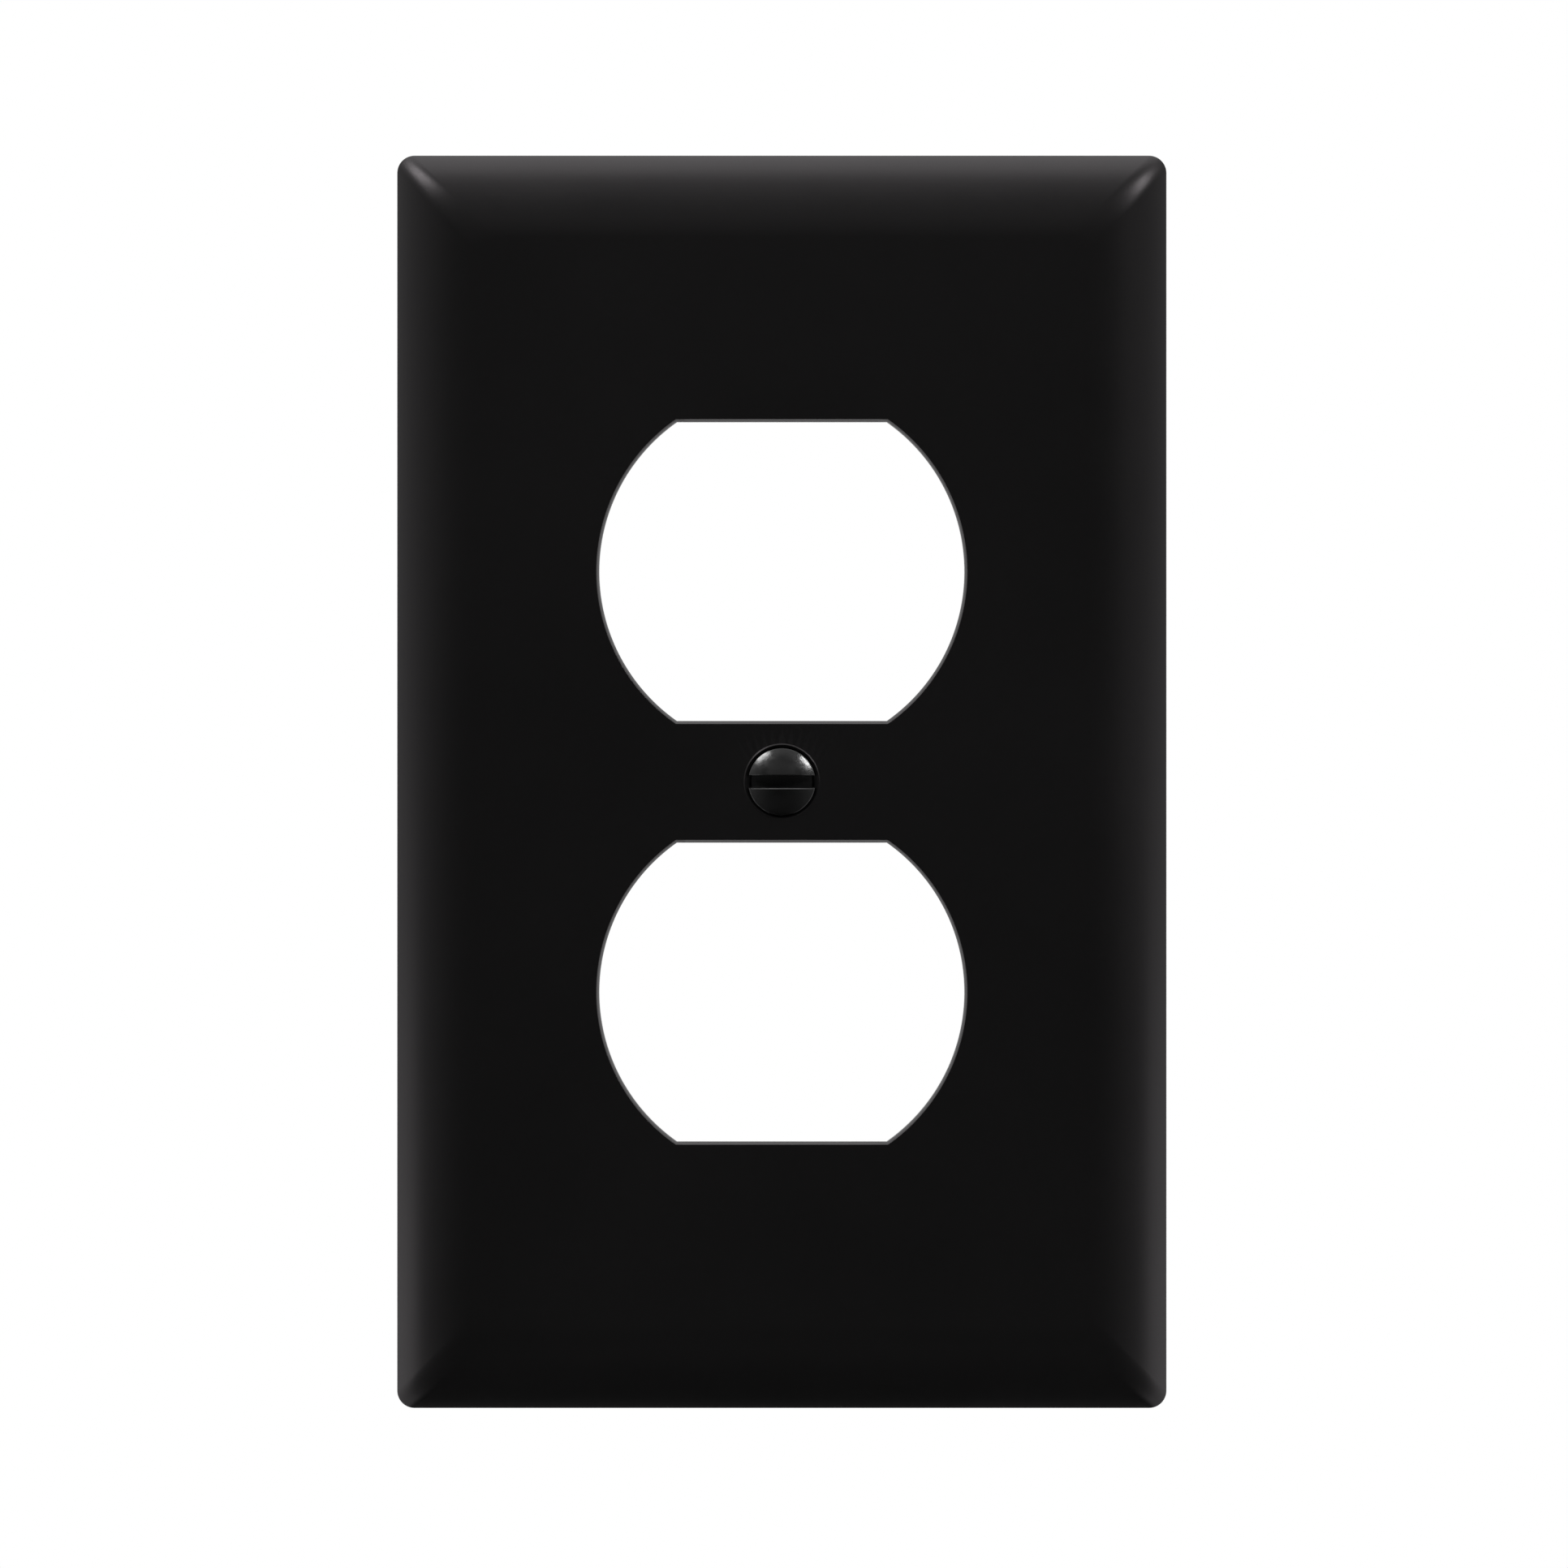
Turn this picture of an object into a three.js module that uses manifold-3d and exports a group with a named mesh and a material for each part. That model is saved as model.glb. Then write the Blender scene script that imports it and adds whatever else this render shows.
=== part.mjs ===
// A one-gang wall plate for a duplex receptacle, with the oval-head screw that holds it on.
//
// Millimetres, +Z up. The plate's back lies on the wall, the plane y = 0, and its face looks
// along -Y. The origin is on the wall, on the screw's axis, at the middle of the plate.
// "Front" below is the distance that a point stands in front of the wall, so y = -front.

import * as THREE from 'three';
import { mergeVertices, toCreasedNormals } from 'three/addons/utils/BufferGeometryUtils.js';
import Module from 'manifold-3d';

const wasm = await Module();
wasm.setup();

// Outside of the plate
const PLATE_WIDTH = 70.9;
const PLATE_HEIGHT = 115.4;
const PLATE_DEPTH = 5.6;
const OUTLINE_CORNER = 1.6; // radius of the outline's corners, seen from the front
const ROLL_WIDTH = 7.6; // width of the rolled border between the outline and the flat face
const ROLL_TILT = THREE.MathUtils.degToRad(50); // slope of the roll where it reaches the edge
const EDGE_ROUNDING = 0.2; // between the roll and the side wall
const SIDE_DRAFT = 0.03; // how far the side wall leans in over its height

// Inside of the plate
const FACE_WALL = 2.2; // thickness of the front wall and of the roll
const RIM_WIDTH = 2; // width of the flat rim that lies on the wall
const RIM_DRAFT = 0.1;
const CAVITY_CORNER = 1.2;
const RIB_WIDTH = 1.2;
const RIB_FRONT = 1.8; // the ribs and the collars stop this far short of the wall

// Openings for the two receptacle faces
const OPENING_PITCH = 38.7; // centre to centre
const OPENING_DIAMETER = 33.6;
const OPENING_FLATS = 27.5; // across the flat top and bottom
const LIP_WIDTH = 0.27; // steep bevel round the opening's front edge, seen from the front
const LIP_DEPTH = 0.55;
const COLLAR_WALL = 1.5; // stiffening wall around each opening, on the back
const END_RIB_SPACING = 20; // between the two ribs above, and below, the openings

// Screw hole
const COUNTERSINK_DIAMETER = 6.8;
const COUNTERSINK_HALF_ANGLE = THREE.MathUtils.degToRad(41);
const HOLE_DIAMETER = 4;
const BOSS_DIAMETER = 8.4;
const BOSS_FRONT = 0.8; // the boss stops this far short of the wall

// Oval-head machine screw, number 6 with 32 threads per inch
const THREAD_PITCH = 25.4 / 32;
const MAJOR_DIAMETER = 3.5;
const MINOR_DIAMETER = 2.64;
const SCREW_LENGTH = 12.7; // from the widest part of the head to the tip
const HEAD_DIAMETER = 6.2;
const HEAD_RIM = 0.12; // height of the head's narrow rim
const CROWN_HEIGHT = 0.84;
const SEAT_GAP = 0.15; // clearance between the head's cone and the countersink
const SLOT_WIDTH = 1.06;
const SLOT_DEPTH = 1.3;
const SLOT_EDGE_WIDTH = 0.15; // bevel along the slot's two long edges
const SLOT_EDGE_DEPTH = 0.12;
const TIP_CHAMFER = 0.5;
const NECK_LENGTH = 0.9; // plain shank between the head's cone and the first thread
const THREAD_RUN_OUT = 0.5; // turns over which the thread fades at each end
const CREST_SHARE = 1 / 8; // crest's width as a share of the pitch
const THREAD_HALF_ANGLE = THREE.MathUtils.degToRad(30);

// Fineness
const ROUND_STEPS = 48; // sides of a turned piece
const OPENING_ARC_STEPS = 28; // each of an opening's two arcs
const CORNER_STEPS = 6;
const ROLL_STEPS = 10;
const SMALL_ARC_STEPS = 3;
const THREAD_STEPS = 16; // sections in one turn of the thread
const SLOT_STEPS = 16;
const OVERCUT = 1; // how far a cutter runs past the material
const MERGE_DISTANCE = 1e-5;
const CREASE_ANGLE = THREE.MathUtils.degToRad(25);

// Worked out from the driving dimensions
const rollRadius = EDGE_ROUNDING + (ROLL_WIDTH - EDGE_ROUNDING - SIDE_DRAFT) / Math.sin(ROLL_TILT);
const rollCentreFront = PLATE_DEPTH - rollRadius;
const cavityRadius = rollRadius - FACE_WALL;
const embedded = PLATE_DEPTH - FACE_WALL / 2; // bosses, collars and ribs start inside the front wall
const innerHalfWidth = PLATE_WIDTH / 2 - RIM_WIDTH;
const innerHalfHeight = PLATE_HEIGHT / 2 - RIM_WIDTH;
const rimInRim = RIM_WIDTH / 4; // how far a rib's end runs into the rim
const coneSlope = Math.tan(COUNTERSINK_HALF_ANGLE);
const headRadius = HEAD_DIAMETER / 2;
const seatedDepth = (COUNTERSINK_DIAMETER / 2 - headRadius) / coneSlope;
const coneTopFront = PLATE_DEPTH - seatedDepth + SEAT_GAP / Math.sin(COUNTERSINK_HALF_ANGLE);
const rimTopFront = coneTopFront + HEAD_RIM;
const crownRadius = (headRadius ** 2 + CROWN_HEIGHT ** 2) / (2 * CROWN_HEIGHT);
const crownCentreFront = rimTopFront + CROWN_HEIGHT - crownRadius;
const coneBottomFront = coneTopFront - (headRadius - MAJOR_DIAMETER / 2) / coneSlope;
const neckFront = coneBottomFront - NECK_LENGTH;
const tipFront = coneTopFront - SCREW_LENGTH;

// Numbers from start to end in equal steps, both ends included.
function steps(start, end, count) {
  return Array.from({ length: count + 1 }, (_, i) => start + ((end - start) * i) / count);
}

// Six times the signed volume of an indexed triangle mesh.
function signedVolume(positions, triangles) {
  const corners = [new THREE.Vector3(), new THREE.Vector3(), new THREE.Vector3()];
  let volume = 0;
  for (let t = 0; t < triangles.length; t += 3) {
    corners.forEach((corner, i) => corner.fromArray(positions, 3 * triangles[t + i]));
    volume += corners[0].dot(corners[1].cross(corners[2]));
  }
  return volume;
}

// A manifold solid from a closed geometry, without the doubled vertices and empty triangles
// that a seam or a pole leaves, and with its faces turned outward.
function solidOf(geometry) {
  const bare = geometry.clone();
  bare.deleteAttribute('normal');
  bare.deleteAttribute('uv');
  const merged = mergeVertices(bare, MERGE_DISTANCE);
  const positions = merged.attributes.position.array;
  const outward = [];
  const indices = merged.index.array;
  for (let t = 0; t < indices.length; t += 3) {
    const [a, b, c] = indices.slice(t, t + 3);
    if (a !== b && b !== c && c !== a) outward.push(a, b, c);
  }
  if (signedVolume(positions, outward) < 0) outward.reverse();
  return new wasm.Manifold(
    new wasm.Mesh({
      numProp: 3,
      vertProperties: new Float32Array(positions),
      triVerts: new Uint32Array(outward),
    }),
  );
}

// A closed solid through a row of rings. Every ring is a loop of the same number of points, in an
// order that mirrors itself: point i and point (last - i) face each other across the ring.
function loft(rings) {
  const count = rings[0].length;
  const triangles = [];
  for (let r = 0; r + 1 < rings.length; r++) {
    for (let i = 0; i < count; i++) {
      const here = r * count + i;
      const next = r * count + ((i + 1) % count);
      triangles.push(here, next, next + count, here, next + count, here + count);
    }
  }
  const lastRing = (rings.length - 1) * count;
  for (let i = 0; i + 1 < count / 2; i++) {
    const facing = count - 1 - i;
    triangles.push(i, facing, i + 1, facing, facing - 1, i + 1);
    triangles.push(lastRing + i, lastRing + i + 1, lastRing + facing);
    triangles.push(lastRing + facing, lastRing + i + 1, lastRing + facing - 1);
  }
  const geometry = new THREE.BufferGeometry().setFromPoints(rings.flat());
  geometry.setIndex(triangles);
  return solidOf(geometry);
}

// A solid of revolution about the screw's axis from [radius, front] pairs.
function turned(profile) {
  const points = profile.map(([radius, front]) => new THREE.Vector2(radius, -front));
  return solidOf(new THREE.LatheGeometry(points, ROUND_STEPS));
}

// A box between two corners given as [x, front, z].
function block([x0, front0, z0], [x1, front1, z1]) {
  const geometry = new THREE.BoxGeometry(Math.abs(x1 - x0), Math.abs(front1 - front0), Math.abs(z1 - z0));
  geometry.translate((x0 + x1) / 2, -(front0 + front1) / 2, (z0 + z1) / 2);
  return solidOf(geometry);
}

// The plate's outline, moved in by an inset, as a rounded rectangle at one depth.
function outlineRing(inset, front, corner) {
  const x = PLATE_WIDTH / 2 - inset - corner;
  const z = PLATE_HEIGHT / 2 - inset - corner;
  const corners = [
    [x, z, Math.PI / 2],
    [x, -z, 0],
    [-x, -z, -Math.PI / 2],
    [-x, z, -Math.PI],
  ];
  return corners.flatMap(([cx, cz, start]) =>
    steps(start, start - Math.PI / 2, CORNER_STEPS).map(
      (angle) => new THREE.Vector3(cx + corner * Math.cos(angle), -front, cz + corner * Math.sin(angle)),
    ),
  );
}

// A receptacle opening's outline, a circle cut by a flat above and below, made larger by an offset.
function openingRing(centreZ, offset, front) {
  const radius = OPENING_DIAMETER / 2 + offset;
  const cornerAngle = Math.asin((OPENING_FLATS / 2 + offset) / radius);
  const arcs = [
    steps(cornerAngle, -cornerAngle, OPENING_ARC_STEPS),
    steps(Math.PI + cornerAngle, Math.PI - cornerAngle, OPENING_ARC_STEPS),
  ];
  return arcs.flat().map((angle) => {
    return new THREE.Vector3(radius * Math.cos(angle), -front, centreZ + radius * Math.sin(angle));
  });
}

// The roll or its hollow side, as [inset, front] pairs of an arc about the roll's centre.
function rollArc(radius, fromTilt, count) {
  return steps(fromTilt, 0, count).map((tilt) => [
    ROLL_WIDTH - radius * Math.sin(tilt),
    rollCentreFront + radius * Math.cos(tilt),
  ]);
}

function plateShell() {
  const edgeCentreInset = ROLL_WIDTH - (rollRadius - EDGE_ROUNDING) * Math.sin(ROLL_TILT);
  const edgeCentreFront = rollCentreFront + (rollRadius - EDGE_ROUNDING) * Math.cos(ROLL_TILT);
  const edgeArc = steps(Math.PI / 2, ROLL_TILT, SMALL_ARC_STEPS).map((tilt) => [
    edgeCentreInset - EDGE_ROUNDING * Math.sin(tilt),
    edgeCentreFront + EDGE_ROUNDING * Math.cos(tilt),
  ]);
  const outside = [[0, 0], ...edgeArc, ...rollArc(rollRadius, ROLL_TILT, ROLL_STEPS).slice(1)];
  const wallTilt = Math.asin((ROLL_WIDTH - RIM_WIDTH) / cavityRadius);
  const backInset = RIM_WIDTH - RIM_DRAFT;
  const inside = [[backInset, -OVERCUT], [backInset, 0], ...rollArc(cavityRadius, wallTilt, ROLL_STEPS)];
  const outerRings = outside.map(([inset, front]) => outlineRing(inset, front, OUTLINE_CORNER));
  const innerRings = inside.map(([inset, front]) => outlineRing(inset, front, CAVITY_CORNER));
  return loft(outerRings).subtract(loft(innerRings));
}

// The plate's outside moved in to the middle of its wall. It trims the ribs where the roll drops.
function stiffenerEnvelope() {
  const radius = rollRadius - FACE_WALL / 2;
  const wallTilt = Math.asin((ROLL_WIDTH - RIM_WIDTH / 2) / radius);
  const outside = [[RIM_WIDTH / 2, 0], ...rollArc(radius, wallTilt, ROLL_STEPS)];
  return loft(outside.map(([inset, front]) => outlineRing(inset, front, CAVITY_CORNER)));
}

// The collar and the four ribs that stiffen one opening, on the side of z where the opening is.
function openingStiffeners(side) {
  const centreZ = (side * OPENING_PITCH) / 2;
  const collar = loft([embedded, RIB_FRONT].map((front) => openingRing(centreZ, COLLAR_WALL, front)));
  const inCollar = COLLAR_WALL / 2;
  const sideStart = OPENING_DIAMETER / 2 + inCollar;
  const endStart = OPENING_PITCH / 2 + OPENING_FLATS / 2 + inCollar;
  let solid = collar;
  for (const across of [-1, 1]) {
    const sideRib = block(
      [across * sideStart, embedded, centreZ - RIB_WIDTH / 2],
      [across * (innerHalfWidth + rimInRim), RIB_FRONT, centreZ + RIB_WIDTH / 2],
    );
    const ribX = (across * END_RIB_SPACING) / 2;
    const endRib = block(
      [ribX - RIB_WIDTH / 2, embedded, side * endStart],
      [ribX + RIB_WIDTH / 2, RIB_FRONT, side * (innerHalfHeight + rimInRim)],
    );
    solid = solid.add(sideRib).add(endRib);
  }
  return solid;
}

// The boss behind the screw hole, with the rib that ties it to both sides of the rim.
function screwBoss() {
  const boss = turned([
    [0, embedded],
    [BOSS_DIAMETER / 2, embedded],
    [BOSS_DIAMETER / 2, BOSS_FRONT],
    [0, BOSS_FRONT],
  ]);
  const rib = block(
    [-innerHalfWidth - rimInRim, embedded, -RIB_WIDTH / 2],
    [innerHalfWidth + rimInRim, RIB_FRONT, RIB_WIDTH / 2],
  );
  return boss.add(rib);
}

// The cutter for one receptacle opening, flared at the face by the lip's bevel.
function openingCutter(side) {
  const centreZ = (side * OPENING_PITCH) / 2;
  const profile = [
    [LIP_WIDTH, PLATE_DEPTH + OVERCUT],
    [LIP_WIDTH, PLATE_DEPTH],
    [0, PLATE_DEPTH - LIP_DEPTH],
    [0, -OVERCUT],
  ];
  return loft(profile.map(([offset, front]) => openingRing(centreZ, offset, front)));
}

// The cutter for the countersunk screw hole.
function screwHoleCutter() {
  const edge = COUNTERSINK_DIAMETER / 2;
  const hole = HOLE_DIAMETER / 2;
  return turned([
    [0, PLATE_DEPTH + OVERCUT],
    [edge, PLATE_DEPTH + OVERCUT],
    [edge, PLATE_DEPTH],
    [hole, PLATE_DEPTH - (edge - hole) / coneSlope],
    [hole, -OVERCUT],
    [0, -OVERCUT],
  ]);
}

function wallPlate() {
  const stiffeners = screwBoss().add(openingStiffeners(1)).add(openingStiffeners(-1));
  return plateShell()
    .add(stiffeners.intersect(stiffenerEnvelope()))
    .subtract(openingCutter(1))
    .subtract(openingCutter(-1))
    .subtract(screwHoleCutter());
}

// How far in front of the wall the head's domed top is at a distance from the screw's axis.
function crownFront(distance) {
  return crownCentreFront + Math.sqrt(crownRadius ** 2 - distance ** 2);
}

// Head, neck and the core that the thread stands on, in one turned body.
function screwBlank() {
  const crown = steps(0, headRadius, ROLL_STEPS).map((radius) => [radius, crownFront(radius)]);
  const coreRadius = MINOR_DIAMETER / 2;
  return turned([
    ...crown,
    [headRadius, coneTopFront],
    [MAJOR_DIAMETER / 2, coneBottomFront],
    [MAJOR_DIAMETER / 2, neckFront],
    [coreRadius, neckFront - (MAJOR_DIAMETER / 2 - coreRadius)],
    [coreRadius, tipFront + TIP_CHAMFER],
    [coreRadius - TIP_CHAMFER / 2, tipFront],
    [0, tipFront],
  ]);
}

// The thread's ridge: a 60 degree section carried along a right-hand helix, fading at both ends.
function threadRidge() {
  const turns = (neckFront - tipFront - TIP_CHAMFER) / THREAD_PITCH;
  const rootRadius = MINOR_DIAMETER / 2 - THREAD_PITCH / 8; // sunk into the core
  const fullHeight = MAJOR_DIAMETER / 2 - rootRadius;
  const crestHalf = (THREAD_PITCH * CREST_SHARE) / 2;
  const rings = steps(0, turns, Math.round(turns * THREAD_STEPS)).map((turn) => {
    const fade = Math.min(1, turn / THREAD_RUN_OUT, (turns - turn) / THREAD_RUN_OUT);
    const height = Math.max(fullHeight * fade, fullHeight / 8);
    const baseHalf = crestHalf + height * Math.tan(THREAD_HALF_ANGLE);
    const angle = 2 * Math.PI * turn;
    const front = neckFront - turn * THREAD_PITCH;
    const section = [
      [rootRadius, baseHalf],
      [rootRadius + height, crestHalf],
      [rootRadius + height, -crestHalf],
      [rootRadius, -baseHalf],
    ];
    return section.map(
      ([radius, along]) =>
        new THREE.Vector3(radius * Math.cos(angle), -(front + along), -radius * Math.sin(angle)),
    );
  });
  return loft(rings);
}

// The cutter for the screwdriver slot. Its two upper edges are bevelled along the domed top.
function slotCutter() {
  const half = SLOT_WIDTH / 2;
  const floorFront = rimTopFront + CROWN_HEIGHT - SLOT_DEPTH;
  const reach = headRadius + OVERCUT;
  const rings = steps(-reach, reach, SLOT_STEPS).map((x) => {
    const edgeFront = crownFront(Math.min(Math.hypot(x, half), headRadius));
    const rightSide = [
      [half, floorFront],
      [half, edgeFront - SLOT_EDGE_DEPTH],
      [half + SLOT_EDGE_WIDTH, edgeFront],
      [half + SLOT_EDGE_WIDTH, edgeFront + OVERCUT],
    ];
    const leftSide = rightSide.map(([z, front]) => [-z, front]).reverse();
    return [...rightSide, ...leftSide].map(([z, front]) => new THREE.Vector3(x, -front, z));
  });
  return loft(rings);
}

function plateScrew() {
  return screwBlank().add(threadRidge()).subtract(slotCutter());
}

const blackPlastic = new THREE.MeshStandardMaterial({ color: 0x151415, roughness: 0.35, metalness: 0 });
const blackPaintedSteel = new THREE.MeshStandardMaterial({ color: 0x111111, roughness: 0.25, metalness: 0.3 });

// A named mesh from a manifold solid.
function piece(name, solid, material) {
  const { vertProperties, triVerts } = solid.getMesh();
  const geometry = new THREE.BufferGeometry();
  geometry.setAttribute('position', new THREE.BufferAttribute(vertProperties, 3));
  geometry.setIndex(new THREE.BufferAttribute(triVerts, 1));
  const mesh = new THREE.Mesh(toCreasedNormals(geometry, CREASE_ANGLE), material);
  mesh.name = name;
  return mesh;
}

const duplexWallPlate = new THREE.Group();
duplexWallPlate.add(piece('wall_plate', wallPlate(), blackPlastic));
duplexWallPlate.add(piece('plate_screw', plateScrew(), blackPaintedSteel));

export default duplexWallPlate;
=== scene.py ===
"""Looks for a one-gang duplex receptacle wall plate and the oval-head screw that holds it.

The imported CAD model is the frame: the plate's back lies on the wall, the plane y = 0, its face looks
along -Y, and the screw's axis is the Y axis. Shapes are built here in millimetres, and "front" is
how far a point stands in front of the wall, so y = -front. Both pieces are rebuilt with a fine
surface at the CAD model's own sizes.
"""

import math
from functools import cached_property

import bmesh
import bpy
import numpy as np
from mathutils import Matrix, Vector
from mathutils.geometry import delaunay_2d_cdt


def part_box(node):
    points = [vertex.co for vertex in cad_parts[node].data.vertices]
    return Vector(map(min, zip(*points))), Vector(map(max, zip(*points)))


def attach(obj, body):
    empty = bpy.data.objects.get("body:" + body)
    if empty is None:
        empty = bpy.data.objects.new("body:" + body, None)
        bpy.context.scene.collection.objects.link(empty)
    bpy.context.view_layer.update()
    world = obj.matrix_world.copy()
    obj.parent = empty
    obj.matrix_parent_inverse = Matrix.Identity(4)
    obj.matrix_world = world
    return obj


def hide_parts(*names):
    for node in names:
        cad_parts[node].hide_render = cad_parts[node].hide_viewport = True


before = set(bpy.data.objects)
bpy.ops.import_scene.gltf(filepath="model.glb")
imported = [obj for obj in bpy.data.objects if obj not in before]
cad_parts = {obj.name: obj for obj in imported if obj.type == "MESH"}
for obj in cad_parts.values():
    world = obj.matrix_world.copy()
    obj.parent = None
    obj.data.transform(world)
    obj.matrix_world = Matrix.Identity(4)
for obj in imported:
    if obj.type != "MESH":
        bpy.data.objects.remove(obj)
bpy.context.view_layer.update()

MM = 0.001

# ---------------------------------------------------------------- sizes, as in the CAD model (mm)
plate_low, plate_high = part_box("wall_plate")
PLATE_WIDTH = (plate_high[0] - plate_low[0]) / MM
PLATE_HEIGHT = (plate_high[2] - plate_low[2]) / MM
PLATE_DEPTH = (plate_high[1] - plate_low[1]) / MM
OUTLINE_CORNER = 1.6
ROLL_WIDTH = 7.6
ROLL_TILT = math.radians(50)
EDGE_ROUNDING = 0.2
SIDE_DRAFT = 0.03
BACK_EDGE = 0.15  # rounding where the side wall meets the flat rim

FACE_WALL = 2.2
RIM_WIDTH = 2.0
RIM_DRAFT = 0.1
CAVITY_CORNER = 1.2
CAVITY_FILLET = 0.5
RIB_WIDTH = 1.2
RIB_FRONT = 1.8
RIB_DRAFT = 0.05
RIB_FILLET = 0.35
RIB_ROUNDING = 0.15
RIB_BLEND = 1.0  # how softly ribs and collars run into each other

OPENING_PITCH = 38.7
OPENING_DIAMETER = 33.6
OPENING_FLATS = 27.5
LIP_WIDTH = 0.27  # steep bevel round each opening's front edge
LIP_DEPTH = 0.55
LIP_ROUNDING = 0.06  # radius where the face turns into the bevel
COLLAR_WALL = 1.5
COLLAR_EDGE = 0.12
END_RIB_SPACING = 20.0

COUNTERSINK_DIAMETER = 6.8
COUNTERSINK_HALF_ANGLE = math.radians(41)
HOLE_DIAMETER = 4.0
BEAD_WIDTH = 0.14  # plastic that the screw has raised round the countersink's mouth
BEAD_HEIGHT = 0.1
BEAD_SIDE = math.radians(105)  # where the bead stands highest, from +X towards +Z
BOSS_DIAMETER = 8.4
BOSS_FRONT = 0.8

THREAD_PITCH = 25.4 / 32
MAJOR_DIAMETER = 3.5
MINOR_DIAMETER = 2.64
SCREW_LENGTH = 12.7
HEAD_DIAMETER = 6.2
HEAD_RIM = 0.12
CROWN_HEIGHT = 0.84
SEAT_GAP = 0.15
SLOT_WIDTH = 1.06
SLOT_DEPTH = 1.3
SLOT_EDGE_WIDTH = 0.15
SLOT_EDGE_DEPTH = 0.12
TIP_CHAMFER = 0.5
NECK_LENGTH = 0.9

roll_radius = EDGE_ROUNDING + (ROLL_WIDTH - EDGE_ROUNDING - SIDE_DRAFT) / math.sin(ROLL_TILT)
roll_centre = PLATE_DEPTH - roll_radius
cavity_radius = roll_radius - FACE_WALL
floor_front = PLATE_DEPTH - FACE_WALL


# ---------------------------------------------------------------- camera
FRAME_FILL = 0.7985  # the plate's share of the frame's height
CAMERA_DISTANCE = 2.5
AIM = (0.2, -0.2)  # where the camera's axis meets the plate, in x and z (mm)
SENSOR = 36.0


def add_camera():
    data = bpy.data.cameras.new("camera")
    camera = bpy.data.objects.new("camera", data)
    bpy.context.collection.objects.link(camera)
    camera.location = (AIM[0] * MM, -CAMERA_DISTANCE, AIM[1] * MM)
    camera.rotation_euler = (math.pi / 2, 0.0, 0.0)
    data.sensor_width = SENSOR
    data.lens = SENSOR * CAMERA_DISTANCE * FRAME_FILL / (PLATE_HEIGHT * MM)
    data.clip_start = 0.05
    data.clip_end = 50.0
    bpy.context.scene.camera = camera


add_camera()


# ---------------------------------------------------------------- outlines and heights
def steps(start, end, count):
    """Numbers from start to end in equal steps, both ends included."""
    return [start + (end - start) * i / count for i in range(count + 1)]


def divided(start, end, count):
    """Points from start up to, and without, end."""
    return [
        tuple(a + (b - a) * i / count for a, b in zip(start, end)) for i in range(count)
    ]


CORNER_STEPS = 14
SIDE_STEPS = 24


def plate_outline(inset, corner):
    """The plate's outline moved in by an inset, as a rounded rectangle of (x, z) points."""
    x = PLATE_WIDTH / 2 - inset - corner
    z = PLATE_HEIGHT / 2 - inset - corner
    centres = [(x, z, 90), (x, -z, 0), (-x, -z, -90), (-x, z, -180)]
    arcs = []
    for cx, cz, start in centres:
        angles = [math.radians(a) for a in steps(start, start - 90, CORNER_STEPS)]
        arcs.append([(cx + corner * math.cos(a), cz + corner * math.sin(a)) for a in angles])
    points = []
    for arc, following in zip(arcs, arcs[1:] + arcs[:1]):
        points += arc[:-1] + divided(arc[-1], following[0], SIDE_STEPS)
    return points


ARC_STEPS = 96
FLAT_STEPS = 20


def opening_outline(side, offset):
    """An opening's outline, a circle cut by two flats, made larger by an offset."""
    centre = side * OPENING_PITCH / 2
    radius = OPENING_DIAMETER / 2 + offset
    corner = math.asin((OPENING_FLATS / 2 + offset) / radius)
    points = []
    for start, end in ((corner, -corner), (math.pi + corner, math.pi - corner)):
        arc = [
            (radius * math.cos(a), centre + radius * math.sin(a))
            for a in steps(start, end, ARC_STEPS)
        ]
        across = (-arc[-1][0], arc[-1][1])
        points += arc[:-1] + divided(arc[-1], across, FLAT_STEPS)
    return points


ROUND_STEPS = 96


def circle(radius, centre=(0.0, 0.0), count=ROUND_STEPS):
    angles = [2 * math.pi * i / count for i in range(count)]
    return [(centre[0] + radius * math.cos(a), centre[1] + radius * math.sin(a)) for a in angles]


def roll_front(inset, radius):
    """Height of the rolled border, or of its hollow side, above the wall."""
    reach = np.clip(ROLL_WIDTH - inset, 0, radius)
    return roll_centre + np.sqrt(radius**2 - reach**2)


def outline_inset(x, z, corner):
    """How far in from the outline a point lies, counted in rounded rectangles of one corner radius."""
    a = PLATE_WIDTH / 2 - np.abs(x)
    b = PLATE_HEIGHT / 2 - np.abs(z)
    spread = np.clip(2 * corner**2 - (a - b) ** 2, 0, None)
    rounded = (a + b + np.sqrt(spread)) / 2 - corner
    return np.where(np.abs(a - b) < corner, rounded, np.minimum(a, b))


def opening_offset(x, z, side):
    """How far outside an opening's outline a point lies."""
    down = z - side * OPENING_PITCH / 2
    return np.maximum(np.hypot(x, down) - OPENING_DIAMETER / 2, np.abs(down) - OPENING_FLATS / 2)


def bar_offset(x, z, low, high):
    """How far outside an upright rectangle a point lies."""
    across = np.abs(x - (low[0] + high[0]) / 2) - (high[0] - low[0]) / 2
    along = np.abs(z - (low[1] + high[1]) / 2) - (high[1] - low[1]) / 2
    return np.maximum(across, along)


def soft_min(a, b, blend):
    overlap = np.clip(blend - np.abs(a - b), 0, None) / blend
    return np.minimum(a, b) - overlap**2 * blend / 4


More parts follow.
